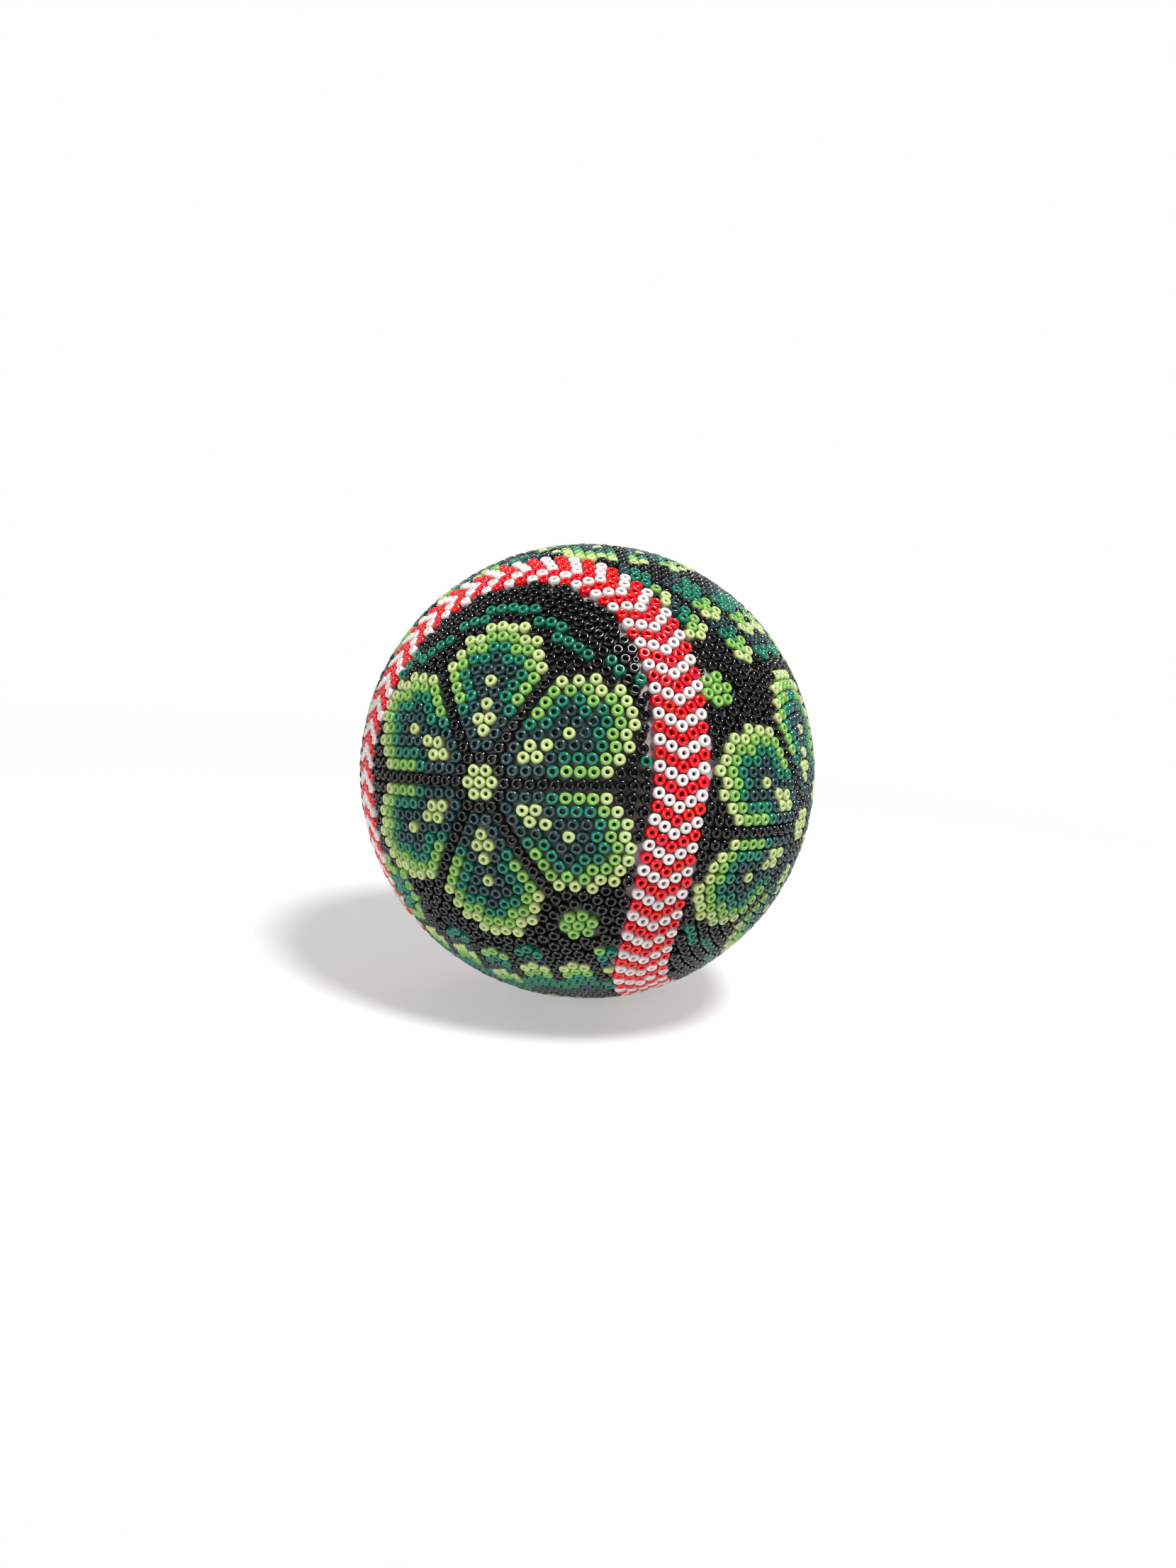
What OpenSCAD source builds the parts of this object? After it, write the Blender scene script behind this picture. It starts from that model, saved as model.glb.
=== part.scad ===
// Bead-covered baseball. A cork-centred ball with wound wool, a stitched leather
// cover and a thin wax layer carries glass seed beads that stand hole-outwards.
// Five columns of red and white beads follow the seam as a chevron band. Each of
// the two panels has a six-petalled flower in both of its lobes, and nested
// chevrons with a small flower on its waist.
// The origin is the ball's centre. The two panels are centred on +Z and -Z.

/* [Beads] */
// Outside diameter of a glass bead
bead_d = 1.82; // [1.6:0.02:1.82]
// Diameter of the hole through a bead
bead_hole_d = 0.74; // [0.5:0.02:0.9]
// Radius from the ball's centre to the middle of every bead
bead_orbit_r = 39; // [39:0.1:40]

/* [Bead layout, degrees seen from the ball's centre] */
// Step from one ring of a flower to the next
ring_pitch = 2.85; // [2.85:0.01:2.87]
// Step between the columns of a waist
column_pitch = 2.35; // [2.35:0.01:2.38]
// Step between the beads of one waist column
row_pitch = 3.15; // [3.14:0.01:3.2]
// Step between the five columns of the seam band
band_column = 2.62; // [2.5:0.01:2.64]
// Angle from a waist's middle to each of its panel's flowers
flower_tilt = 93.2; // [93:0.1:93.4]
// Turn of the base panel's two flowers about their own middles
base_flower_turn = -7.5; // [-10:2.5:10]

/* [Ball under the beads] */
// Outside radius of the wax layer
wax_r = 38.1; // [38:0.05:38.12]
// Outside radius of the leather cover
cover_r = 37.2; // [36.6:0.1:37.4]
// Thickness of the leather
cover_t = 1.3; // [1.1:0.1:1.4]
// Half width of the channel along the seam, in degrees
channel = 2; // [1.9:0.1:2.2]
// Diameter of the stitching thread
thread_d = 0.9; // [0.7:0.1:1]
// Number of double stitches round the seam
stitches = 108; // [100:2:108]

/* [Ball's core] */
// Radius of the cork centre
cork_r = 10.3; // [9.5:0.1:10.5]
// Outside radius of the black rubber shells
rubber_r = 14.2; // [13.5:0.1:14.3]
// Outside radius of the red rubber cover
pill_r = 16.8; // [16.4:0.1:17]
// Thickness of the red washer between the black shells
washer_t = 0.9; // [0.6:0.1:1.2]
// Outside radii of the three wool windings and of the fine finishing winding
winding_r = [27, 31, 34.9, 35.6]; // [20:0.1:36]

/* [Hidden] */
LOBES = 4;

EPS = 0.001;
fit_gap = 0.1;           // clearance between neighbouring shells
band_rows = 192;         // rows of the chevron band, all round the seam
band_turn = band_rows / LOBES;
petal_rings = 13;        // rings of a flower that hold its petals
lobe_rings = 18;         // rings that reach the far end of a lobe
waist_columns = 12;
waist_rows = 17;
bead_gap = 2.8;          // smallest angle that the layout aims at between two beads
least_gap = 2.7;         // beads that stay closer than this are left out
band_room = 7.05;        // angle from the seam to the first free bead
near_pole = 3.6;         // the seven beads on a pole are a node of their own
layout_rounds = 2;       // times that the free beads are filled in and settled
bead_facets = 24;
ball_facets = 96;

// ---- the seam: a curve on the unit sphere, with the tennis ball's symmetry ----
seam_b = 0.267;
seam_a = 1 - seam_b;
seam_c = 2 * sqrt(seam_a * seam_b);

function unit(v) = v / norm(v);
function turned(p, a) = [p.x * cos(a) - p.y * sin(a), p.x * sin(a) + p.y * cos(a), p.z];

function seam_point(t) = [
    seam_a * cos(t) + seam_b * cos(3 * t),
    seam_a * sin(t) - seam_b * sin(3 * t),
    seam_c * sin(2 * t)];

function seam_slope(t) = [
    -seam_a * sin(t) - 3 * seam_b * sin(3 * t),
    seam_a * cos(t) - 3 * seam_b * cos(3 * t),
    2 * seam_c * cos(2 * t)];

// A point beside the seam: positive angles lie on the top panel's side
function beside_seam(t, across) =
    let (p = seam_point(t))
    p * cos(across) + cross(p, unit(seam_slope(t))) * sin(across);

// Length along the band's more crowded edge, tabulated over a quarter of the seam
arc_step = 1;
function crowded_step(t) = min([for (side = [-1, 1])
    norm(beside_seam(t + arc_step, side * 2 * band_column) - beside_seam(t, side * 2 * band_column))]);
arc_table = [for (t = 0, s = 0; t <= 90; s = s + crowded_step(t), t = t + arc_step) [s, t]];
quarter_length = arc_table[len(arc_table) - 1][0];
function seam_angle(s) =
    s < 0 ? seam_angle(s + quarter_length) - 90 :
    s > quarter_length ? seam_angle(s - quarter_length) + 90 : lookup(s, arc_table);

// ---- the chevron band: row i, column j from -2 to 2, its middle bead leading ----
function band_bead(i, j) =
    beside_seam(seam_angle((i - abs(j) / 2) * quarter_length / band_turn), j * band_column);

// ---- one lobe, in its own frame: the panel's pole on +Z, the lobe along +X ----
flower = [sin(flower_tilt), 0, cos(flower_tilt)];
flower_down = [cos(flower_tilt), 0, -sin(flower_tilt)];
rim = (petal_rings + 1) * ring_pitch;

function lobe_point(away, around) =
    cos(away) * flower + sin(away) * (cos(around) * flower_down + sin(around) * [0, 1, 0]);
function waist_point(u, v) = [sin(u) * cos(v), sin(v), cos(u) * cos(v)];

lobe_edge = [for (t = [315:408]) turned(seam_point(t), 45)];
function clear_of_band(p, room) = max([for (e = lobe_edge) p * e]) < cos(room);
function ring_count(k) =
    k == 0 ? 1 : k <= petal_rings ? 6 * k : floor(360 * sin(k * ring_pitch) / bead_gap);

// The last full ring and the one round it are turned by half steps, so that both halves of a lobe match
function ring_start(k, turn) =
    k > petal_rings ? 0 : 30 + (k < petal_rings - 1 ? turn : round(turn * k / 30) * 30 / k);
function ring_beads(first, last, turn) = [
    for (k = [first:last])
        for (j = [0:ring_count(k) - 1])
            lobe_point(k * ring_pitch, ring_start(k, turn) + 360 * j / ring_count(k))];
function on_one_side(list) = [for (p = list) if (p.y > -EPS && clear_of_band(p, band_room)) p];

// Half of a lobe: the rings round a flower, then the waist columns with y >= 0
function outer_beads(turn) = on_one_side(concat(
    ring_beads(petal_rings, petal_rings + 1, turn),
    [for (p = ring_beads(petal_rings + 2, lobe_rings, turn)) if (atan2(p.y, p * flower_down) < 112) p]));
waist_beads = [
    for (i = [0:waist_columns])
        for (r = [0:waist_rows])
            let (p = waist_point((r + (i % 2) / 2) * row_pitch, i * column_pitch))
            if (p.z < cos(near_pole) && clear_of_band(p, band_room) && p * flower < cos(rim + 2.1)) p];
pole_beads = concat([[0, 0, 1]],
    [for (side = [-1, 1]) waist_point(side * row_pitch, 0)],
    [for (a = [-1, 1]) for (b = [-1, 1]) waist_point(a * row_pitch / 2, b * column_pitch)]);
edge_beads = [
    for (i = [0:band_turn - 1])
        for (q = [0, 3])
            for (j = [-2:2])
                let (p = turned(band_bead(i + q * band_turn, j), 45)) if (p.y > -EPS) p];

// A small flower beside the band: a bead and the six round it
function spot_place(top) = top ? [46, 138] : [rim, 150 + base_flower_turn];
function spot_beads(top) =
    let (
        away = spot_place(top)[0],
        middle = lobe_point(away, spot_place(top)[1]),
        out = lobe_point(away + 90, spot_place(top)[1]),
        side = cross(middle, out))
    on_one_side(concat([middle], [for (a = [0:60:300])
        cos(ring_pitch) * middle + sin(ring_pitch) * (cos(a) * out + sin(a) * side)]));

// Neighbours across the lobe's two mirror planes
function mirrored(list) = concat(
    [for (p = list) if (p.y > EPS && p.y < 0.06) [p.x, -p.y, p.z]],
    [for (p = list) if (p.x > EPS && p.x < 0.06 && p.z > 0) [-p.x, p.y, p.z]]);
function with_mirrors(list) = concat(list, mirrored(list));

// Beads closer than the gap push each other apart, over a few turns
function pushed(p, near, gap) =
    let (push = [for (q = near) let (d = norm(p - q)) if (d > EPS && d < gap) (p - q) * (gap / d - 1)])
    len(push) == 0 ? p :
    let (m = p + 0.5 * [for (q = push) 1] * push)
    unit([p.z > 0 && p.x < EPS ? 0 : m.x, p.y < EPS ? 0 : m.y, m.z]);
function settled(free, fixed, gap, turns) =
    turns == 0 ? free :
    let (near = concat(fixed, with_mirrors(free)))
    settled([for (p = free) pushed(p, near, gap)], fixed, gap, turns - 1);

// Beads that stay too close are left out, and holes that take a bead are filled
function apart(p, list) = len([for (q = list) if (norm(p - q) < 2 * sin(least_gap / 2)) 1]) == 0;
function thinned(free, fixed) = [
    for (i = [0:len(free) - 1])
        let (p = free[i], before = [for (j = [0:1:i - 1]) free[j]])
        if (apart(p, fixed) && apart(p, with_mirrors(before)) && apart(p, mirrored([p]))) p];
function spaced(list, kept = []) =
    len(list) == 0 ? kept :
    spaced([for (i = [1:1:len(list) - 1]) if (apart(list[i], [list[0]])) list[i]], concat(kept, [list[0]]));
function filled(free, fixed) =
    let (near = concat(fixed, with_mirrors(free)))
    concat(free, spaced([for (p = spare_places) if (apart(p, near)) p]));

// Places to try when holes are filled: on the waist's side of the flower, and along the band
spare_places = concat(
    [for (away = [rim - 3:0.4:rim + 8]) for (around = [90:180 / 128:180])
        let (p = lobe_point(away, around)) if (clear_of_band(p, band_room)) p],
    [for (across = [band_room + 0.05:0.4:band_room + 3]) for (t = [317:0.7:407])
        let (p = turned(beside_seam(t, across), 45)) if (p.y > 0.024 && clear_of_band(p, band_room)) p]);
function laid_out(free, fixed, gap, rounds) =
    rounds == 0 ? thinned(free, fixed) :
    laid_out(settled(filled(thinned(free, fixed), fixed), fixed, gap, 4), fixed, 1.02 * gap, rounds - 1);

// All beads of one lobe of a panel, but for those of its pole and the band
function lobe_beads(top) =
    let (
        turn = top ? 0 : base_flower_turn,
        last_ring = on_one_side(ring_beads(petal_rings - 1, petal_rings - 1, turn)),
        fixed = concat(with_mirrors(last_ring), edge_beads, pole_beads, spot_beads(top)),
        start = concat(outer_beads(turn), waist_beads),
        free = laid_out(start, fixed, 2 * sin(bead_gap / 2), layout_rounds),
        half = concat(free, spot_beads(top)))
    concat(
        ring_beads(0, petal_rings - 1, turn),
        half,
        [for (p = half) if (p.y > EPS && p.x > EPS) [p.x, -p.y, p.z]]);
top_lobe = lobe_beads(true);
base_lobe = lobe_beads(false);

// ---- colours: k black, s slate, e emerald, l lime, p pale, r red, w white ----
// A petal's beads between two black spokes, ring by ring
petal_chart = ["p", "p", "k", "ss", "sps", "spps", "espse", "lessel", "lespsel", "lessssel",
    "pleeseelp", "kplleellpk", "kkpplllppkk", "kkkkppppkkkk"];
small_petal_chart = ["p", "p", "k", "ss", "sps", "esse", "lesel", "ppllpp", "kkpppkk"];
// The nested chevrons of a waist, from the tip inwards
top_chevrons = "plespleeskk";
top_tips = [18, 16, 13, 11];
base_chevrons = "lespleessk";
base_tips = [15, 17, 17, 16];

function charted(chart, k, j) = k < 2 ? chart[k] : (j == 0 || j == k || k == 2) ? "k" : chart[k][j - 1];
function wrap(a, m) = a - m * floor(a / m);

function flower_colour(k, around, turn) =
    let (
        a = around - turn,
        off_petal = abs(wrap(a + 30, 60) - 30),
        j = round(wrap(a - 30, 60) * k / 60))
    k <= petal_rings && charted(petal_chart, k, j) != "k" ? charted(petal_chart, k, j) :
    abs(around) < 78 && (
        (k == petal_rings + 2 && off_petal < 10) ||
        (k == petal_rings + 1 && off_petal >= 10 && off_petal < 21) ||
        (k == petal_rings && off_petal >= 21)) ? "e" : "k";

function small_flower_colour(i, r) =
    let (
        k = round(max(i, r + i / 2)),
        a = wrap(atan2(i * sin(60), r), 60),
        j = round(k * sin(a) / (sin(a) + sin(60 - a))))
    k < len(small_petal_chart) ? charted(small_petal_chart, k, j) : "k";

function waist_colour(u, v, top) =
    let (
        i = abs(v) / column_pitch,
        r = u / row_pitch,
        start = top ? 2 : 0,
        group = max(0, round((round(i) - start) / 4)),
        side = abs(round(i) - start - 4 * group),
        tip = (top ? top_tips : base_tips)[min(group, 3)],
        chart = top ? top_chevrons : base_chevrons,
        depth = round(tip - r - side / 2),
        joined = top ? 6 : 5)
    depth < 0 ? "k" :
    depth >= len(chart) ? small_flower_colour(i, r) :
    !top && group == 2 && depth < 3 ? "k" :
    side >= 2 && depth < joined ? "k" : chart[depth];

// Small round flowers in the black ground, beside the seam
function spot_colour(away, around, top) =
    let (
        p = lobe_point(away, around),
        lime_spot = lobe_point(spot_place(top)[0], (top && around < 0 ? -1 : 1) * spot_place(top)[1]),
        ring_spot = lobe_point(47, -140))
    p * lime_spot > cos(4) ? "l" :
    !top && p * ring_spot > cos(6) ? "e" :
    !top && p * ring_spot > cos(9) ? "l" : "k";

function panel_colour(p, top) =
    let (
        away = acos(p * flower),
        around = atan2(p.y, p * flower_down),
        k = round(away / ring_pitch),
        spot = k >= petal_rings ? spot_colour(away, around, top) : "k")
    spot != "k" ? spot :
    away < rim + 1 || abs(around) < 100 ? flower_colour(k, around, top ? 0 : base_flower_turn) :
    waist_colour(atan2(p.x, p.z), asin(p.y), top);

// ---- placing: lobes 1 and 3 are the top panel's, 2 and 4 the base panel's ----
function quarter_turn(p, q) = q == 0 ? p : quarter_turn([-p.y, p.x, -p.z], q - 1);
function from_lobe(p, q) = quarter_turn(turned(p, -45), q);

module at_angle(p, r) {
    rotate([0, acos(p.z), atan2(p.y, p.x)]) translate([0, 0, r]) children();
}

module bead() {
    difference() {
        sphere(d = bead_d, $fn = bead_facets);
        cylinder(d = bead_hole_d, h = 2 * bead_d, center = true, $fn = bead_facets);
    }
}

module panel_beads(letter, lobe) {
    top = lobe % 2 == 1;
    for (p = top ? top_lobe : base_lobe)
        if (panel_colour(p, top) == letter)
            at_angle(from_lobe(p, lobe - 1), bead_orbit_r) bead();
}

module band_beads(parity, lobe) {
    for (i = [0:band_turn - 1])
        if (i % 2 == parity)
            for (j = [-2:2])
                at_angle(quarter_turn(band_bead(i, j), lobe - 1), bead_orbit_r) bead();
}

module pole_rosette(side) {
    color("palegoldenrod")
        for (p = pole_beads)
            at_angle(from_lobe(p, side), bead_orbit_r) bead();
}

// ---- the ball under the beads ----
module shell(outer_r, inner_r) {
    difference() {
        sphere(r = outer_r, $fn = ball_facets);
        sphere(r = inner_r, $fn = ball_facets);
    }
}

module half_space(side) {
    translate([side * (pill_r + washer_t / 2 + fit_gap), 0, 0]) cube(2 * pill_r, center = true);
}

// Seen along the lobes' mirror plane, a seam edge is one open line from lobe to lobe
module leather_cover() {
    edge = [for (t = [135:3:315])
        let (p = cover_r * turned(beside_seam(t, channel), 45)) [p.x, p.z]];
    far = 2 * cover_r;
    last = edge[len(edge) - 1];
    outline = concat([[-far, edge[0].y - far / 2]], edge, [[far, last.y - far / 2], [far, far], [-far, far]]);
    rotate(-45)
        intersection() {
            shell(cover_r, cover_r - cover_t);
            rotate([90, 0, 0]) linear_extrude(2 * far, center = true) polygon(outline);
        }
}

module leather_cover_base() rotate(90) mirror([0, 0, 1]) leather_cover();

module bar(a, b, d) {
    v = b - a;
    translate(a)
        rotate([0, acos(v.z / norm(v)), atan2(v.y, v.x)])
            cylinder(d = d, h = norm(v), $fn = bead_facets);
}

// One thread's slanted stitches, in the channel on one side of the seam
module stitch_thread(side) {
    pitch = LOBES * quarter_length / stitches;
    thread_r = cover_r - cover_t / 2;
    color("crimson")
        for (i = [0:stitches - 1])
            bar(
                thread_r * beside_seam(seam_angle(i * pitch), side * 0.9),
                thread_r * beside_seam(seam_angle((i + 0.4) * pitch), side * 1.3),
                thread_d * 0.7);
}

module cork_core() color("burlywood") sphere(r = cork_r, $fn = ball_facets);

module rubber_shell(side) {
    color("dimgray")
        intersection() {
            shell(rubber_r, cork_r + fit_gap);
            half_space(side);
        }
}

module rubber_washer() {
    color("firebrick")
        rotate([0, 90, 0])
            difference() {
                cylinder(r = rubber_r - fit_gap, h = washer_t, center = true, $fn = ball_facets);
                cylinder(r = cork_r + 2 * fit_gap, h = 2 * washer_t, center = true, $fn = ball_facets);
            }
}

module rubber_cover() color("indianred") shell(pill_r, rubber_r + fit_gap);
module wool_winding(i) {
    inner = i == 0 ? pill_r : winding_r[i - 1];
    color(i == 1 || i == 3 ? "ivory" : "lightgray") shell(winding_r[i], inner + fit_gap);
}
module wax_layer() color("mistyrose") shell(wax_r, cover_r + fit_gap / 2);

cork_core();
rubber_shell(-1);  // rubber_shell_left
rubber_shell(1);  // rubber_shell_right
rubber_washer();
rubber_cover();
wool_winding(0);  // wool_winding_inner
wool_winding(1);  // wool_winding_middle
wool_winding(2);  // wool_winding_outer
wool_winding(3);  // finishing_winding
color("white") leather_cover();  // leather_cover_top
color("white") leather_cover_base();
stitch_thread(1);  // stitch_thread_top
stitch_thread(-1);  // stitch_thread_base
wax_layer();
pole_rosette(0);  // pole_beads_top
pole_rosette(1);  // pole_beads_base
for (lobe = [1:LOBES]) {
    color("red") band_beads(0, lobe);
    color("white") band_beads(1, lobe);
    color([0.05, 0.05, 0.06]) panel_beads("k", lobe);
    color([0.13, 0.27, 0.31]) panel_beads("s", lobe);
    color([0.06, 0.5, 0.39]) panel_beads("e", lobe);
    color([0.49, 0.76, 0.27]) panel_beads("l", lobe);
    color([0.8, 0.87, 0.5]) panel_beads("p", lobe);
}
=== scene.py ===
"""A baseball covered in glass seed beads: the looks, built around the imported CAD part."""

import math

import bpy
import numpy as np
from mathutils import Matrix, Vector
from mathutils.kdtree import KDTree


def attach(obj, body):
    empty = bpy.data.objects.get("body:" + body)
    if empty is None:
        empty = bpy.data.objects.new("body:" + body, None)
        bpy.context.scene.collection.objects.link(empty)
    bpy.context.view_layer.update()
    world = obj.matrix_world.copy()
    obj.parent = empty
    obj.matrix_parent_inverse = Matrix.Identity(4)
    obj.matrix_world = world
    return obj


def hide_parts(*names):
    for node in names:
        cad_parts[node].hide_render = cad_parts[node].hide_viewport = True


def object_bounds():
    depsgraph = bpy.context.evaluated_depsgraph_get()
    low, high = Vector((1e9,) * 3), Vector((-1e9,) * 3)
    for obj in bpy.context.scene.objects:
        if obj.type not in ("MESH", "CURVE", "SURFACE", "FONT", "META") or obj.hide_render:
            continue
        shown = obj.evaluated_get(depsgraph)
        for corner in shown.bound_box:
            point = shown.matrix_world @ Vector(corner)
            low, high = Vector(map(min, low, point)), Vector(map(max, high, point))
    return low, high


MM = 0.001
SEED = 11
LOBES = (1, 2, 3, 4)

# Shape of a glass bead, as shares of its outer radius: full and round outside, crisper at the hole.
# Then how its tones spread, how its hole is darkened with painted shade, and its margin on the texture sheet.
CROWN_SHARE = 0.62
HEIGHT_SHARES = (0.68, 0.80)
OVAL_SHARES = (0.985, 1.0)
OUTER_POWER = 2 / 2.2
HOLE_POWER = 2 / 2.8
AROUND = 20
PROFILE = 12
TONE_SHAPE = 2.2
HOLE_SHADE = (0.55, 0.6)
HOLE_SHADE_SHARE = 0.6
CELL_MARGIN = 0.05

# How beads sit: they shift in the soft wax, grow to meet their neighbours, and stand a little
# unevenly in it, most of all beside the band
ROOM_D = 2.06 * MM
FELT_D = 1.4 * ROOM_D
PUSH = 0.22
MOST_SHIFT = 0.25 * MM
UNEVEN = 0.035 * MM
SHIFTS = 100
MOST_D = 2.10 * MM
SNUG = (0.988, 1.0)
NEIGHBOURS = 8
LIFT = 0.02 * MM
LIFT_SPREAD = 0.015 * MM
TILT = math.radians(2.5)
EDGE_TILT = math.radians(6)
EDGE_REACH = 2.3 * MM
SAME_BEAD = 0.5 * MM

# Small beads squeezed in where the rows leave room, and the wax that stands in every hole
LEAST_SQUEEZED = 0.50 * MM
MOST_SQUEEZED = 0.82 * MM
WALLS = 4
SQUEEZED_SINK = 0.74
SQUEEZED_TILT = math.radians(32)
PLUG_SIDES = 10
PLUG_ACROSS = 1.12
PLUG_LEVELS = (-0.35, 0.05)
PLUG_DIP = 0.08
PLUG_DEPTH = 0.4

# Wax surface between the beads: it rolls in waves, given in radians per ball radius, creeps up
# against each bead, and turns pink beside the band; away from the band its dark grey is partly painted shade
WAX_R = 38.34 * MM
WAX_ROLL = 0.08 * MM
WAVES = 24
WAVE_TURNS = (30, 160)
MOST_WAVE = 1.5
WAX_CREEP = 0.20 * MM
CREEP_FROM = 0.90 * MM
CREEP_WIDTH = 0.25 * MM
WAX_GRID = 94
BAND_REACH = (2.2 * MM, 3.6 * MM)

# The photograph's camera, as directions in the part's own frame and a distance in ball radii
BALL_R = 39.83 * MM
CAMERA_FROM = Vector((-0.357, -0.920, 0.158)).normalized()
CAMERA_UP = Vector((-0.050, 0.188, 0.981))
CAMERA_AWAY = 5.84 * BALL_R
LENS = 30.1
SHIFT = (0.0005, -0.0083)

# Round lights: direction to the right, up and towards the camera, then distance and width in
# metres, then power in watts
LIGHTS = {
    "key": ((0.38, 0.77, 0.48), 0.60, 0.17, 5.8),
    "fill": ((-0.62, 0.05, 0.80), 0.70, 0.40, 2.6),
}
LAMP_UP = Vector((0.1, 0.2, 1.0))

# Surroundings, grey in front of the ball and white behind it, and the floor that fades into them,
# with its reaches in metres
SURROUND = 0.15
BACKDROP = 1.0
BACKDROP_FACING = (0.1, 0.75)
FLOOR_REACH = 6.0
FLOOR_GLOW = 0.4
GLOW_REACH = (0.08, 0.35)
FADE_REACH = (0.35, 1.8)

# Linear colour of each glass, its spread of tone from bead to bead, its roughness,
# and the least and most of its hole's radius, as shares of the bead's own
GLASS = {
    "red": ((0.62, 0.001, 0.005), 0.08, 0.13, (0.28, 0.38)),
    "white": ((0.64, 0.58, 0.57), 0.04, 0.15, (0.27, 0.36)),
    "black": ((0.003, 0.003, 0.003), 0.30, 0.10, (0.34, 0.43)),
    "slate": ((0.014, 0.042, 0.045), 0.20, 0.14, (0.36, 0.45)),
    "emerald": ((0.008, 0.150, 0.090), 0.14, 0.13, (0.34, 0.42)),
    "lime": ((0.180, 0.380, 0.076), 0.10, 0.14, (0.29, 0.37)),
    "pale": ((0.410, 0.500, 0.192), 0.06, 0.15, (0.24, 0.32)),
}

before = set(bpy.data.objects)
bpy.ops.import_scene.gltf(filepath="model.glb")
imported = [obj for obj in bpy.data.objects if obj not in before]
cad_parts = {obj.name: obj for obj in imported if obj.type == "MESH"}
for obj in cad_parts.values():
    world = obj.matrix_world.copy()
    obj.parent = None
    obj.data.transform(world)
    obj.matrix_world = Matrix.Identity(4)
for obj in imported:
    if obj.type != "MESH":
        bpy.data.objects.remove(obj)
cad_low, cad_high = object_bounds()
rng = np.random.default_rng(SEED)


# ---- material helpers ----
def add(tree, kind, inputs=None, **settings):
    """A node with its settings made and its inputs set or linked."""
    made = tree.nodes.new(kind)
    for name, value in settings.items():
        setattr(made, name, value)
    for name, value in (inputs or {}).items():
        if isinstance(value, bpy.types.NodeSocket):
            tree.links.new(value, made.inputs[name])
        else:
            made.inputs[name].default_value = value
    return made


def start_material(name):
    """A new material, its node tree and its shader."""
    made = bpy.data.materials.new(name)
    made.use_nodes = True
    return made, made.node_tree, made.node_tree.nodes["Principled BSDF"]


def place(tree):
    """Where a point lies on its object, in metres."""
    return add(tree, "ShaderNodeTexCoord").outputs["Object"]


def noise(tree, scale, detail=3.0, roughness=0.5):
    """Soft noise over the object, with its scale in cells per metre."""
    inputs = {"Vector": place(tree), "Scale": scale, "Detail": detail, "Roughness": roughness}
    return add(tree, "ShaderNodeTexNoise", inputs).outputs["Fac"]


def spread(tree, value, low, high):
    """A 0 to 1 value stretched to run from low to high."""
    inputs = {"Value": value, "To Min": low, "To Max": high}
    return add(tree, "ShaderNodeMapRange", inputs).outputs["Result"]


def ramp(tree, value, *stops):
    """Colour by value, from (position, colour) stops."""
    made = add(tree, "ShaderNodeValToRGB", {"Fac": value})
    elements = made.color_ramp.elements
    while len(elements) < len(stops):
        elements.new(0.5)
    for element, (position, colour) in zip(elements, stops):
        element.position = position
        element.color = (*colour, 1.0)
    return made.outputs["Color"]


def bump(tree, height, distance, strength=1.0):
    """A surface raised by a 0 to 1 height over a distance in metres."""
    inputs = {"Height": height, "Distance": distance, "Strength": strength}
    return add(tree, "ShaderNodeBump", inputs).outputs["Normal"]


def mixed(tree, share, one, other):
    """One colour blended into the other by a 0 to 1 share."""
    made = add(tree, "ShaderNodeMix", data_type="RGBA")
    for name, value in (("Factor_Float", share), ("A_Color", one), ("B_Color", other)):
        socket = next(s for s in made.inputs if s.identifier == name)
        if isinstance(value, bpy.types.NodeSocket):
            tree.links.new(value, socket)
        else:
            socket.default_value = (*value, 1.0) if isinstance(value, tuple) else value
    return next(s for s in made.outputs if s.identifier == "Result_Color")


def wire(tree, shader, **sockets):
    """Links values to the shader's inputs, named with _ for each space."""
    for name, value in sockets.items():
        tree.links.new(value, shader.inputs[name.replace("_", " ")])


# ---- materials ----
def glass(name):
    """Opaque glass: each bead has its own tone and faint streaks, and painted shade darkens its hole."""
    colour, tones, roughness, _ = GLASS[name]
    made, tree, shader = start_material(f"{name}_glass")
    tone = add(tree, "ShaderNodeAttribute", attribute_name="bead_tone").outputs["Fac"]
    hole_shade_mask = add(tree, "ShaderNodeAttribute", attribute_name="painted_hole_shade").outputs["Fac"]
    darker, lighter = (tuple(share * c for c in colour) for share in (0.90, 1.06))
    streaked = ramp(tree, noise(tree, 700.0, 2.0), (0.35, darker), (0.65, lighter))
    varied = add(tree, "ShaderNodeHueSaturation", {
        "Color": streaked,
        "Hue": spread(tree, tone, 0.497, 0.503),
        "Value": spread(tree, tone, 1.0 - tones, 1.0 + tones),
    }).outputs["Color"]
    # Painted shade: the glass colour falls towards a share of itself further down inside the hole.
    shaded_hole_colour = mixed(tree, hole_shade_mask, varied, tuple(HOLE_SHADE_SHARE * c for c in colour))
    grain = noise(tree, 2600.0, 2.0)
    wire(tree, shader, Base_Color=shaded_hole_colour, Normal=bump(tree, grain, 0.01 * MM, 0.6),
         Roughness=spread(tree, noise(tree, 1500.0), roughness - 0.05, roughness + 0.07))
    shader.inputs["IOR"].default_value = 1.52
    return made


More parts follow.
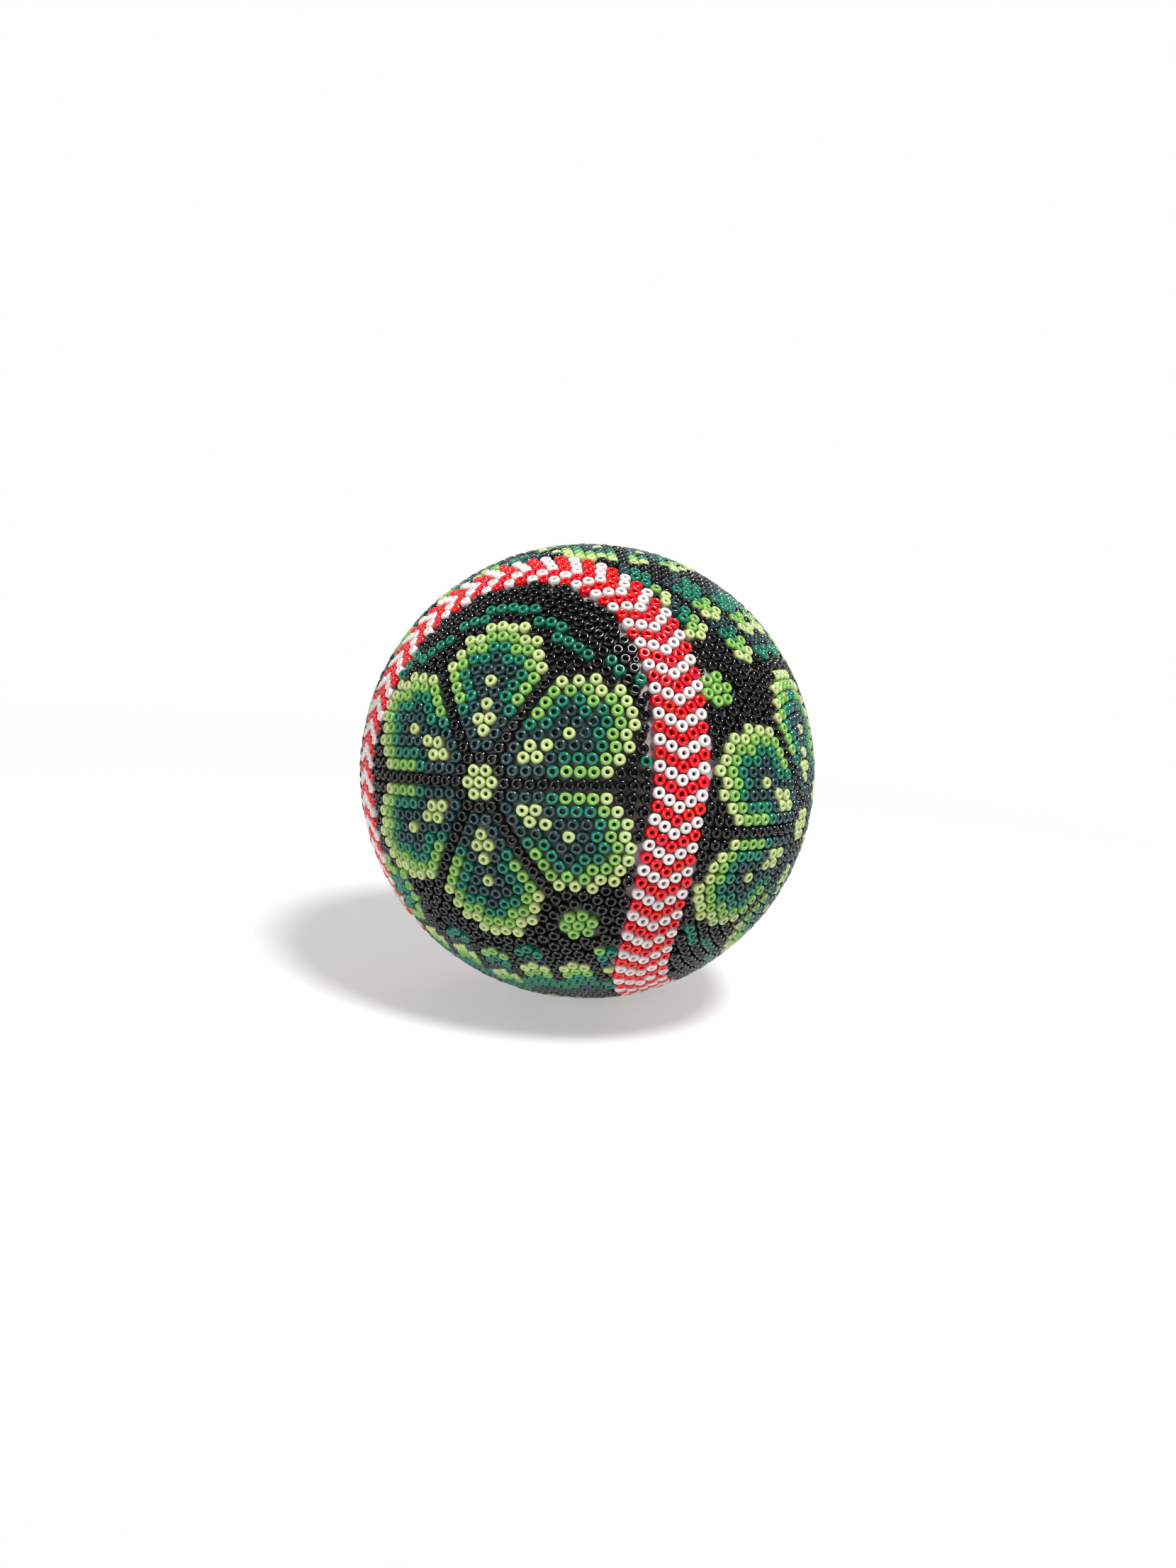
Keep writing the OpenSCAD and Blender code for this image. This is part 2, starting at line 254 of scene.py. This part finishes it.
def wax():
    """Beeswax and pitch, pinkish grey, with smears and small pits; away from the band its grey is darkened,
    partly as painted shade between the beads.
    """
    made, tree, shader = start_material("beeswax")
    smears = noise(tree, 260.0, 4.0, 0.6)
    # Painted shade: this grey is the wax's own grey made darker to stand in for the shade between the beads;
    # the pink beside the band is the wax's own colour.
    grey = ramp(tree, smears, (0.3, (0.050, 0.055, 0.050)), (0.75, (0.15, 0.16, 0.145)))
    pink = ramp(tree, smears, (0.3, (0.25, 0.17, 0.20)), (0.75, (0.46, 0.36, 0.40)))
    beside = add(tree, "ShaderNodeAttribute", attribute_name="beside_band").outputs["Fac"]
    colour = mixed(tree, beside, grey, pink)
    relief = noise(tree, 1800.0, 5.0, 0.65)
    wire(tree, shader, Base_Color=colour, Normal=bump(tree, relief, 0.08 * MM),
         Roughness=spread(tree, smears, 0.55, 0.8))
    shader.inputs["Subsurface Weight"].default_value = 0.1
    shader.inputs["Subsurface Radius"].default_value = (0.0008, 0.0005, 0.0004)
    return made


def leather():
    """White tanned leather: fine pebbled grain and faint handling marks."""
    made, tree, shader = start_material("white_leather")
    pores = add(tree, "ShaderNodeTexVoronoi", {"Vector": place(tree), "Scale": 1400.0}).outputs["Distance"]
    marks = noise(tree, 60.0, 5.0, 0.6)
    colour = ramp(tree, marks, (0.3, (0.66, 0.60, 0.52)), (0.6, (0.80, 0.77, 0.71)))
    wire(tree, shader, Base_Color=colour, Normal=bump(tree, pores, 0.05 * MM),
         Roughness=spread(tree, pores, 0.45, 0.65))
    return made


def yarn(name, dark, light, across):
    """Wound yarn: strands laid over one another in three directions."""
    made, tree, shader = start_material(name)
    bent = add(tree, "ShaderNodeMapping", {"Vector": place(tree), "Rotation": (0.6, 0.3, 0.0)})
    crossed = add(tree, "ShaderNodeMapping", {"Vector": place(tree), "Rotation": (0.2, 1.1, 0.9)})
    strands = [
        add(tree, "ShaderNodeTexWave", {
            "Vector": vector, "Scale": across, "Distortion": 1.5, "Detail": 3.0, "Detail Scale": 2.0,
        }).outputs["Fac"]
        for vector in (bent.outputs["Vector"], crossed.outputs["Vector"])
    ]
    patches = spread(tree, noise(tree, 70.0, 1.0), -2.0, 3.0)
    lay = mixed(tree, patches, strands[0], strands[1])
    fuzz = noise(tree, 3500.0, 4.0, 0.7)
    colour = mixed(tree, spread(tree, fuzz, 0.0, 0.35), ramp(tree, lay, (0.1, dark), (0.8, light)), light)
    wire(tree, shader, Base_Color=colour, Normal=bump(tree, lay, 0.3 * MM),
         Roughness=spread(tree, fuzz, 0.8, 0.98))
    shader.inputs["Sheen Weight"].default_value = 0.3
    return made


def rubber(name, dark, light):
    """Moulded rubber with a faint bloom and a fine moulded texture."""
    made, tree, shader = start_material(name)
    bloom = noise(tree, 120.0, 4.0, 0.6)
    wire(tree, shader, Base_Color=ramp(tree, bloom, (0.3, dark), (0.75, light)),
         Normal=bump(tree, noise(tree, 2200.0, 3.0), 0.03 * MM),
         Roughness=spread(tree, bloom, 0.5, 0.75))
    return made


def cork():
    """Pressed cork: packed granules with dark joints and specks."""
    made, tree, shader = start_material("pressed_cork")
    granules = add(tree, "ShaderNodeTexVoronoi", {"Vector": place(tree), "Scale": 520.0})
    joints = add(tree, "ShaderNodeTexVoronoi", {"Vector": place(tree), "Scale": 520.0},
                 feature="DISTANCE_TO_EDGE").outputs["Distance"]
    tint = ramp(tree, granules.outputs["Color"], (0.2, (0.30, 0.16, 0.07)), (0.8, (0.62, 0.40, 0.22)))
    dark = mixed(tree, spread(tree, joints, 0.75, -0.6), tint, (0.10, 0.05, 0.02))
    wire(tree, shader, Base_Color=dark, Normal=bump(tree, joints, 0.15 * MM),
         Roughness=spread(tree, noise(tree, 900.0), 0.75, 0.95))
    return made


def thread():
    """Waxed red thread with its twist."""
    made, tree, shader = start_material("waxed_red_thread")
    inputs = {"Vector": place(tree), "Scale": 900.0, "Distortion": 2.0}
    twist = add(tree, "ShaderNodeTexWave", inputs).outputs["Fac"]
    colour = ramp(tree, twist, (0.1, (0.30, 0.004, 0.008)), (0.8, (0.62, 0.012, 0.02)))
    wire(tree, shader, Base_Color=colour, Normal=bump(tree, twist, 0.06 * MM),
         Roughness=spread(tree, twist, 0.45, 0.7))
    return made


# ---- beads ----
def loose_parts(node):
    """Centre of every separate solid in a CAD node."""
    mesh = node.data
    at = np.empty(len(mesh.vertices) * 3, np.float32)
    mesh.vertices.foreach_get("co", at)
    at = at.reshape(-1, 3).astype(float)
    ends = np.empty(len(mesh.edges) * 2, np.int32)
    mesh.edges.foreach_get("vertices", ends)
    a, b = ends.reshape(-1, 2).T
    label = np.arange(len(at))
    while True:
        before = label.copy()
        least = np.minimum(label[a], label[b])
        np.minimum.at(label, a, least)
        np.minimum.at(label, b, least)
        label = label[label]
        if (label == before).all():
            break
    _, part = np.unique(label, return_inverse=True)
    low = np.full((part.max() + 1, 3), np.inf)
    high = -low
    np.minimum.at(low, part, at)
    np.maximum.at(high, part, at)
    centres = (low + high) / 2
    kept = []
    for centre in centres:
        if not kept or np.linalg.norm(np.array(kept) - centre, axis=1).min() > SAME_BEAD:
            kept.append(centre)
    kept = np.array(kept)
    return kept[np.lexsort((kept / SAME_BEAD).round().T)]


def bead_form():
    """The quads of one bead, and for each point of its outline how far out, in and up it lies."""
    turn = np.arange(PROFILE) * 2 * math.pi / PROFILE
    outer = np.cos(turn) > 0
    power = np.where(outer, OUTER_POWER, HOLE_POWER)
    out = np.abs(np.cos(turn)) ** power
    up = np.sign(np.sin(turn)) * np.abs(np.sin(turn)) ** power
    i, j = np.meshgrid(np.arange(AROUND), np.arange(PROFILE), indexing="ij")
    after, above = (i + 1) % AROUND, (j + 1) % PROFILE
    quads = np.stack([i * PROFILE + j, after * PROFILE + j, after * PROFILE + above, i * PROFILE + above], -1)
    return out * outer, out * ~outer, up, quads.reshape(-1, 4)


def bead_points(hole, height):
    """Points of every bead before it is seated, from its own hole and height."""
    out, into, up, _ = bead_form()
    across = CROWN_SHARE + (1 - CROWN_SHARE) * out - (CROWN_SHARE - hole[:, None]) * into
    around = np.arange(AROUND) * 2 * math.pi / AROUND
    points = np.stack([
        np.einsum("a,np->nap", np.cos(around), across),
        np.einsum("a,np->nap", np.sin(around), across),
        np.repeat((height[:, None] * up)[:, None, :], AROUND, 1),
    ], -1)
    return points.reshape(len(hole), -1, 3)


def seats(centres, radius, tilts):
    """A turned and scaled frame for each bead, its hole pointing out of the ball but for its tilt."""
    out = centres / np.linalg.norm(centres, axis=1, keepdims=True)
    side = np.cross(out, rng.normal(size=out.shape))
    side /= np.linalg.norm(side, axis=1, keepdims=True)
    axis = out * np.cos(tilts)[:, None] + side * np.sin(tilts)[:, None]
    first = np.cross(axis, rng.normal(size=out.shape))
    first /= np.linalg.norm(first, axis=1, keepdims=True)
    second = np.cross(axis, first)
    oval = rng.uniform(*OVAL_SHARES, len(centres))
    return np.stack([first * (radius * oval)[:, None], second * radius[:, None], axis * radius[:, None]], 1)


def seated(points, frames, middles):
    """The points of every bead, or of its plug, in its own frame on the ball."""
    return np.einsum("npk,nkc->npc", points, frames) + middles[:, None, :]


def mesh_piece(name, at, faces, material):
    """A smooth piece from points and faces that all have the same number of corners."""
    mesh = bpy.data.meshes.new(name)
    mesh.vertices.add(len(at))
    mesh.vertices.foreach_set("co", at.ravel())
    mesh.loops.add(faces.size)
    mesh.loops.foreach_set("vertex_index", faces.ravel())
    mesh.polygons.add(len(faces))
    mesh.polygons.foreach_set("loop_start", np.arange(0, faces.size, faces.shape[1]))
    mesh.polygons.foreach_set("use_smooth", np.ones(len(faces), bool))
    mesh.materials.append(material)
    piece = bpy.data.objects.new(name, mesh)
    bpy.context.scene.collection.objects.link(piece)
    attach(piece, "root")
    return piece


def repeated(faces, count, size):
    """The faces of many copies of one form that has size points."""
    return (faces[None] + (np.arange(count) * size)[:, None, None]).reshape(-1, faces.shape[1])


def bead_piece(name, glass_name, material, centres, radius, tilts):
    """All beads of one colour on one lobe, as one mesh, and the wax that fills their holes."""
    _, into, up, quads = bead_form()
    count = len(centres)
    hole = rng.uniform(*GLASS[glass_name][3], count)
    points = bead_points(hole, rng.uniform(*HEIGHT_SHARES, count))
    size = points.shape[1]
    out = centres / np.linalg.norm(centres, axis=1, keepdims=True)
    middles = centres + out * (LIFT + rng.normal(0, LIFT_SPREAD, count))[:, None]
    frames = seats(centres, radius, tilts)
    at = seated(points, frames, middles).reshape(-1, 3)
    piece = mesh_piece(name, at, repeated(quads, count, size), material)
    tone = np.repeat(rng.beta(TONE_SHAPE, TONE_SHAPE, count), size)
    piece.data.attributes.new("bead_tone", "FLOAT", "POINT").data.foreach_set("value", tone)
    # Painted shade for the hole: strongest on the inner wall and further down it.
    shade, fall = HOLE_SHADE
    hole_shade_mask = np.tile(into ** 2 * np.clip(shade - fall * up, 0, 1), count * AROUND)
    piece.data.attributes.new("painted_hole_shade", "FLOAT", "POINT").data.foreach_set("value", hole_shade_mask)
    lay_out(piece.data, count)
    piece.data.update(calc_edges=True)
    return piece, seated(plug_points(hole), frames, middles)


def plug_points(hole):
    """The wax in each bead's hole: its dipped top, its bottom, then its rim, a little wider than the hole."""
    around = np.arange(PLUG_SIDES) * 2 * math.pi / PLUG_SIDES
    level = rng.uniform(*PLUG_LEVELS, len(hole))
    points = np.zeros((len(hole), PLUG_SIDES + 2, 3))
    points[:, 2:, 0] = PLUG_ACROSS * np.outer(hole, np.cos(around))
    points[:, 2:, 1] = PLUG_ACROSS * np.outer(hole, np.sin(around))
    points[:, 2:, 2] = level[:, None]
    points[:, 0, 2] = level - PLUG_DIP
    points[:, 1, 2] = level - PLUG_DEPTH
    return points


def plug_faces():
    """The triangles of one plug: from its top to its rim, and from its rim to its bottom."""
    here, after = np.arange(PLUG_SIDES) + 2, (np.arange(PLUG_SIDES) + 1) % PLUG_SIDES + 2
    top = np.stack([np.zeros_like(here), here, after], -1)
    bottom = np.stack([np.ones_like(here), after, here], -1)
    return np.concatenate([top, bottom])


def lay_out(mesh, count):
    """Gives every bead its own cell of the texture sheet."""
    cells = math.ceil(math.sqrt(count))
    i, j = np.meshgrid(np.arange(AROUND), np.arange(PROFILE), indexing="ij")
    corners = np.stack([np.stack([i, j], -1), np.stack([i + 1, j], -1),
                        np.stack([i + 1, j + 1], -1), np.stack([i, j + 1], -1)], 2)
    inside = CELL_MARGIN + (1 - 2 * CELL_MARGIN) * corners.reshape(-1, 2) / (AROUND, PROFILE)
    cell = np.stack([np.arange(count) % cells, np.arange(count) // cells], -1)
    uv = (cell[:, None, :] + inside[None]) / cells
    mesh.uv_layers.new(name="OFBake").data.foreach_set("uv", uv.ravel())


def planted(places):
    """A search tree of places."""
    tree = KDTree(len(places))
    for index, p in enumerate(places):
        tree.insert(p, index)
    tree.balance()
    return tree


def shifted(places):
    """Every bead's place after all have nudged one another into even gaps."""
    orbit = np.linalg.norm(places[0])
    tree = planted(places)
    pairs = [(i, j) for i, p in enumerate(places) for _, j, _ in tree.find_range(p, FELT_D) if j > i]
    first, second = np.array(pairs).T
    at = places + rng.normal(0, UNEVEN, places.shape)
    for _ in range(SHIFTS):
        between = at[second] - at[first]
        gap = np.linalg.norm(between, axis=1)
        push = between * (PUSH * np.maximum(ROOM_D / gap - 1, 0))[:, None]
        np.add.at(at, second, push)
        np.add.at(at, first, -push)
        shift = at - places
        far = np.linalg.norm(shift, axis=1)
        at = places + shift * np.minimum(1, MOST_SHIFT / far)[:, None]
        at *= (orbit / np.linalg.norm(at, axis=1))[:, None]
    return at


def grown(places):
    """Radius of every bead: half the way to its nearest neighbour, or more where that one is small."""
    tree = planted(places)
    near = [[(index, gap) for _, index, gap in tree.find_n(p, NEIGHBOURS)[1:]] for p in places]
    radius = np.array([min(row[0][1], MOST_D) / 2 for row in near])
    for bead, row in enumerate(near):
        radius[bead] = min(MOST_D / 2, min(gap - radius[other] for other, gap in row))
    return radius


def squeezed(every, radii, grid):
    """Places and radii of the small beads that fit where the rows leave room."""
    orbit = np.linalg.norm(every[0])
    tree = planted(every)
    found = []
    for p in grid * orbit:
        room = min(gap - radii[index] for _, index, gap in tree.find_n(p, WALLS))
        if room > LEAST_SQUEEZED:
            found.append((min(room, MOST_SQUEEZED), *p))
    kept = np.empty((0, 4))
    for row in sorted(found, reverse=True):
        if len(kept) == 0 or (np.linalg.norm(kept[:, 1:] - row[1:], axis=1) > kept[:, 0] + row[0]).all():
            kept = np.vstack([kept, row])
    radius, places = kept[:, 0], kept[:, 1:]
    return places * (1 - SQUEEZED_SINK * (MOST_D / 2 - radius) / orbit)[:, None], radius


def build_beads(grid, beeswax):
    """Every bead node's piece, from the places of the CAD beads. Returns all places, and the band's tree."""
    names = {f"{colour}_beads_{lobe}": colour for colour in GLASS for lobe in LOBES}
    names.update({"pole_beads_top": "pale", "pole_beads_base": "pale"})
    centres = {node: loose_parts(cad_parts[node]) for node in names}
    band = planted(np.concatenate([c for n, c in centres.items() if names[n] in ("red", "white")]))
    every = shifted(np.concatenate(list(centres.values())))
    radii = grown(every)
    materials = {colour: glass(colour) for colour in GLASS}
    plugs = []
    start = 0
    for node in centres:
        count = len(centres[node])
        places = every[start:start + count]
        radius = radii[start:start + count] * rng.uniform(*SNUG, count)
        start += count
        tilts = np.abs(rng.normal(0, TILT, count))
        if names[node] not in ("red", "white"):
            beside = np.array([band.find(p)[2] for p in places]) < EDGE_REACH
            tilts += beside * np.abs(rng.normal(0, EDGE_TILT, count))
        name = node.replace("beads", "glass_beads")
        piece, plug = bead_piece(name, names[node], materials[names[node]], places, radius, tilts)
        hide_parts(node)
        plugs.append(plug)
    places, radius = squeezed(every, radii, grid)
    tilts = np.abs(rng.normal(0, SQUEEZED_TILT, len(places)))
    _, plug = bead_piece("squeezed_glass_beads", "black", materials["black"], places, radius, tilts)
    plugs = np.concatenate([*plugs, plug])
    # The plugs lack the band mask, so they take the wax's darkened grey, partly painted shade in the holes.
    faces = repeated(plug_faces(), len(plugs), PLUG_SIDES + 2)
    filled = mesh_piece("wax_in_holes", plugs.reshape(-1, 3), faces, beeswax)
    filled.data.update(calc_edges=True)
    return np.concatenate([every, places]), band


# ---- wax skin ----
def ball_grid(steps):
    """An even triangle grid on the unit sphere, from a subdivided icosahedron."""
    golden = (1 + math.sqrt(5)) / 2
    corners = np.array([(x, y, 0) for x in (-1, 1) for y in (-golden, golden)])
    corners = np.concatenate([np.roll(corners, k, 1) for k in range(3)])
    gap = np.linalg.norm(corners[:, None] - corners[None], axis=-1)
    near = np.isclose(gap, gap[gap > 0].min())
    sides = [(a, b, c) for a in range(12) for b in range(a + 1, 12) for c in range(b + 1, 12)
             if near[a, b] and near[b, c] and near[a, c]]
    points, faces = [], []
    for a, b, c in sides:
        if np.dot(np.cross(corners[b] - corners[a], corners[c] - corners[a]), corners[a]) < 0:
            b, c = c, b
        row = {}
        for i in range(steps + 1):
            for j in range(steps + 1 - i):
                row[i, j] = len(points)
                points.append((corners[a] * (steps - i - j) + corners[b] * i + corners[c] * j) / steps)
        for i in range(steps):
            for j in range(steps - i):
                faces.append((row[i, j], row[i + 1, j], row[i, j + 1]))
                if i + j < steps - 1:
                    faces.append((row[i + 1, j], row[i + 1, j + 1], row[i, j + 1]))
    points = np.array(points)
    points /= np.linalg.norm(points, axis=1, keepdims=True)
    _, first, same = np.unique(points.round(6), axis=0, return_index=True, return_inverse=True)
    return points[first], same.ravel()[np.array(faces)]


def wax_skin(grid, faces, beads, band, beeswax):
    """The wax between the beads: it rolls gently and creeps up against each bead."""
    tree = planted(beads)
    waves = rng.normal(size=(WAVES, 3))
    waves *= (rng.uniform(*WAVE_TURNS, WAVES) / np.linalg.norm(waves, axis=1))[:, None]
    roll = np.cos(grid @ waves.T + rng.uniform(0, 2 * math.pi, WAVES)).sum(1) / math.sqrt(WAVES)
    orbit = np.linalg.norm(beads[0])
    away = np.array([tree.find(p * orbit)[2] for p in grid]) - CREEP_FROM
    to_band = np.array([band.find(p * orbit)[2] for p in grid])
    creep = np.exp(-((np.maximum(away, 0) / CREEP_WIDTH) ** 2))
    radius = WAX_R + WAX_ROLL * roll.clip(-MOST_WAVE, MOST_WAVE) / MOST_WAVE + WAX_CREEP * creep
    piece = mesh_piece("wax_skin", grid * radius[:, None], faces, beeswax)
    nearness = np.interp(to_band, BAND_REACH, (1.0, 0.0))
    piece.data.attributes.new("beside_band", "FLOAT", "POINT").data.foreach_set("value", nearness)
    piece.data.update(calc_edges=True)
    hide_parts("wax_layer")


# ---- inside of the ball ----
def finish_inside():
    """Materials for the CAD nodes under the wax."""
    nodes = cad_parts
    finishes = {
        cork(): ("cork_core",),
        rubber("black_rubber", (0.012, 0.012, 0.013), (0.04, 0.04, 0.042)): (
            "rubber_shell_left", "rubber_shell_right"),
        rubber("red_rubber", (0.30, 0.025, 0.02), (0.48, 0.07, 0.05)): ("rubber_washer", "rubber_cover"),
        yarn("grey_wool", (0.16, 0.155, 0.15), (0.42, 0.41, 0.39), 260.0): (
            "wool_winding_inner", "wool_winding_outer"),
        yarn("white_wool", (0.50, 0.48, 0.43), (0.80, 0.78, 0.72), 260.0): ("wool_winding_middle",),
        yarn("white_yarn", (0.60, 0.58, 0.54), (0.88, 0.86, 0.82), 520.0): ("finishing_winding",),
        leather(): ("leather_cover_top", "leather_cover_base"),
        thread(): ("stitch_thread_top", "stitch_thread_base"),
    }
    for material, names in finishes.items():
        for name in names:
            nodes[name].data.materials.clear()
            nodes[name].data.materials.append(material)


# ---- camera, light and floor ----
def aim(thing, up):
    """Turns a camera or light so that it looks at the middle of the ball."""
    back = thing.location.normalized()
    right = up.cross(back).normalized()
    turn = Matrix((right, back.cross(right), back)).transposed()
    thing.matrix_world = Matrix.Translation(thing.location) @ turn.to_4x4()


def build_camera():
    """The photograph's viewpoint."""
    camera = bpy.data.objects.new("camera", bpy.data.cameras.new("camera"))
    bpy.context.scene.collection.objects.link(camera)
    camera.data.lens = LENS
    camera.data.shift_x, camera.data.shift_y = SHIFT
    camera.location = CAMERA_FROM * CAMERA_AWAY
    aim(camera, CAMERA_UP)
    bpy.context.scene.camera = camera


def soft_light(name, towards, away, size, watts):
    """A round soft light, placed by its direction as the camera sees it."""
    right = CAMERA_UP.cross(CAMERA_FROM).normalized()
    up = CAMERA_FROM.cross(right)
    light = bpy.data.lights.new(name, "AREA")
    light.shape = "DISK"
    light.size = size
    light.energy = watts
    lamp = bpy.data.objects.new(name, light)
    bpy.context.scene.collection.objects.link(lamp)
    sideways, upwards, near = towards
    lamp.location = (right * sideways + up * upwards + CAMERA_FROM * near).normalized() * away
    aim(lamp, LAMP_UP)


def eased(tree, value, between, low, high):
    """Runs smoothly from low to high while the value crosses a span."""
    inputs = {"Value": value, "From Min": between[0], "From Max": between[1], "To Min": low, "To Max": high}
    return add(tree, "ShaderNodeMapRange", inputs, interpolation_type="SMOOTHSTEP").outputs["Result"]


def backdrop(tree, towards):
    """How bright the surroundings are in a direction: grey, but white behind the ball."""
    behind = add(tree, "ShaderNodeVectorMath", {0: towards, 1: -CAMERA_FROM}, operation="DOT_PRODUCT")
    return eased(tree, behind.outputs["Value"], BACKDROP_FACING, SURROUND, BACKDROP)


def build_world():
    """Light from all round, with the backdrop that the photograph has."""
    world = bpy.data.worlds.new("studio")
    world.use_nodes = True
    bpy.context.scene.world = world
    tree = world.node_tree
    level = backdrop(tree, add(tree, "ShaderNodeTexCoord").outputs["Generated"])
    tree.links.new(level, tree.nodes["Background"].inputs["Strength"])
    tree.nodes["Background"].inputs["Color"].default_value = (1.0, 1.0, 1.0, 1.0)


def build_floor():
    """A pale floor that grows white around the ball and then fades into the surroundings."""
    floor = bpy.data.objects.new("floor", bpy.data.meshes.new("floor"))
    signs = ((-1, -1), (1, -1), (1, 1), (-1, 1))
    corners = [(x * FLOOR_REACH, y * FLOOR_REACH, cad_low.z) for x, y in signs]
    floor.data.from_pydata(corners, [], [(0, 1, 2, 3)])
    bpy.context.scene.collection.objects.link(floor)
    made, tree, shader = start_material("pale_floor")
    shader.inputs["Base Color"].default_value = (0.88, 0.88, 0.88, 1.0)
    shader.inputs["Roughness"].default_value = 0.6
    here = place(tree)
    far = add(tree, "ShaderNodeVectorMath", {0: here}, operation="LENGTH").outputs["Value"]
    glowing = eased(tree, far, GLOW_REACH, FLOOR_GLOW, 1.0)
    towards = add(tree, "ShaderNodeVectorMath", {0: here}, operation="NORMALIZE").outputs["Vector"]
    level = eased(tree, far, FADE_REACH, BACKDROP, backdrop(tree, towards))
    glow = add(tree, "ShaderNodeEmission", {"Strength": level}).outputs["Emission"]
    both = add(tree, "ShaderNodeMixShader", {"Fac": glowing, 1: shader.outputs["BSDF"], 2: glow})
    tree.links.new(both.outputs["Shader"], tree.nodes["Material Output"].inputs["Surface"])
    floor.data.materials.append(made)


bpy.context.scene.view_settings.view_transform = "Standard"
build_camera()
for light_name, facts in LIGHTS.items():
    soft_light(light_name, *facts)
build_world()
build_floor()
beeswax = wax()
sphere_points, sphere_faces = ball_grid(WAX_GRID)
wax_skin(sphere_points, sphere_faces, *build_beads(sphere_points, beeswax), beeswax)
finish_inside()
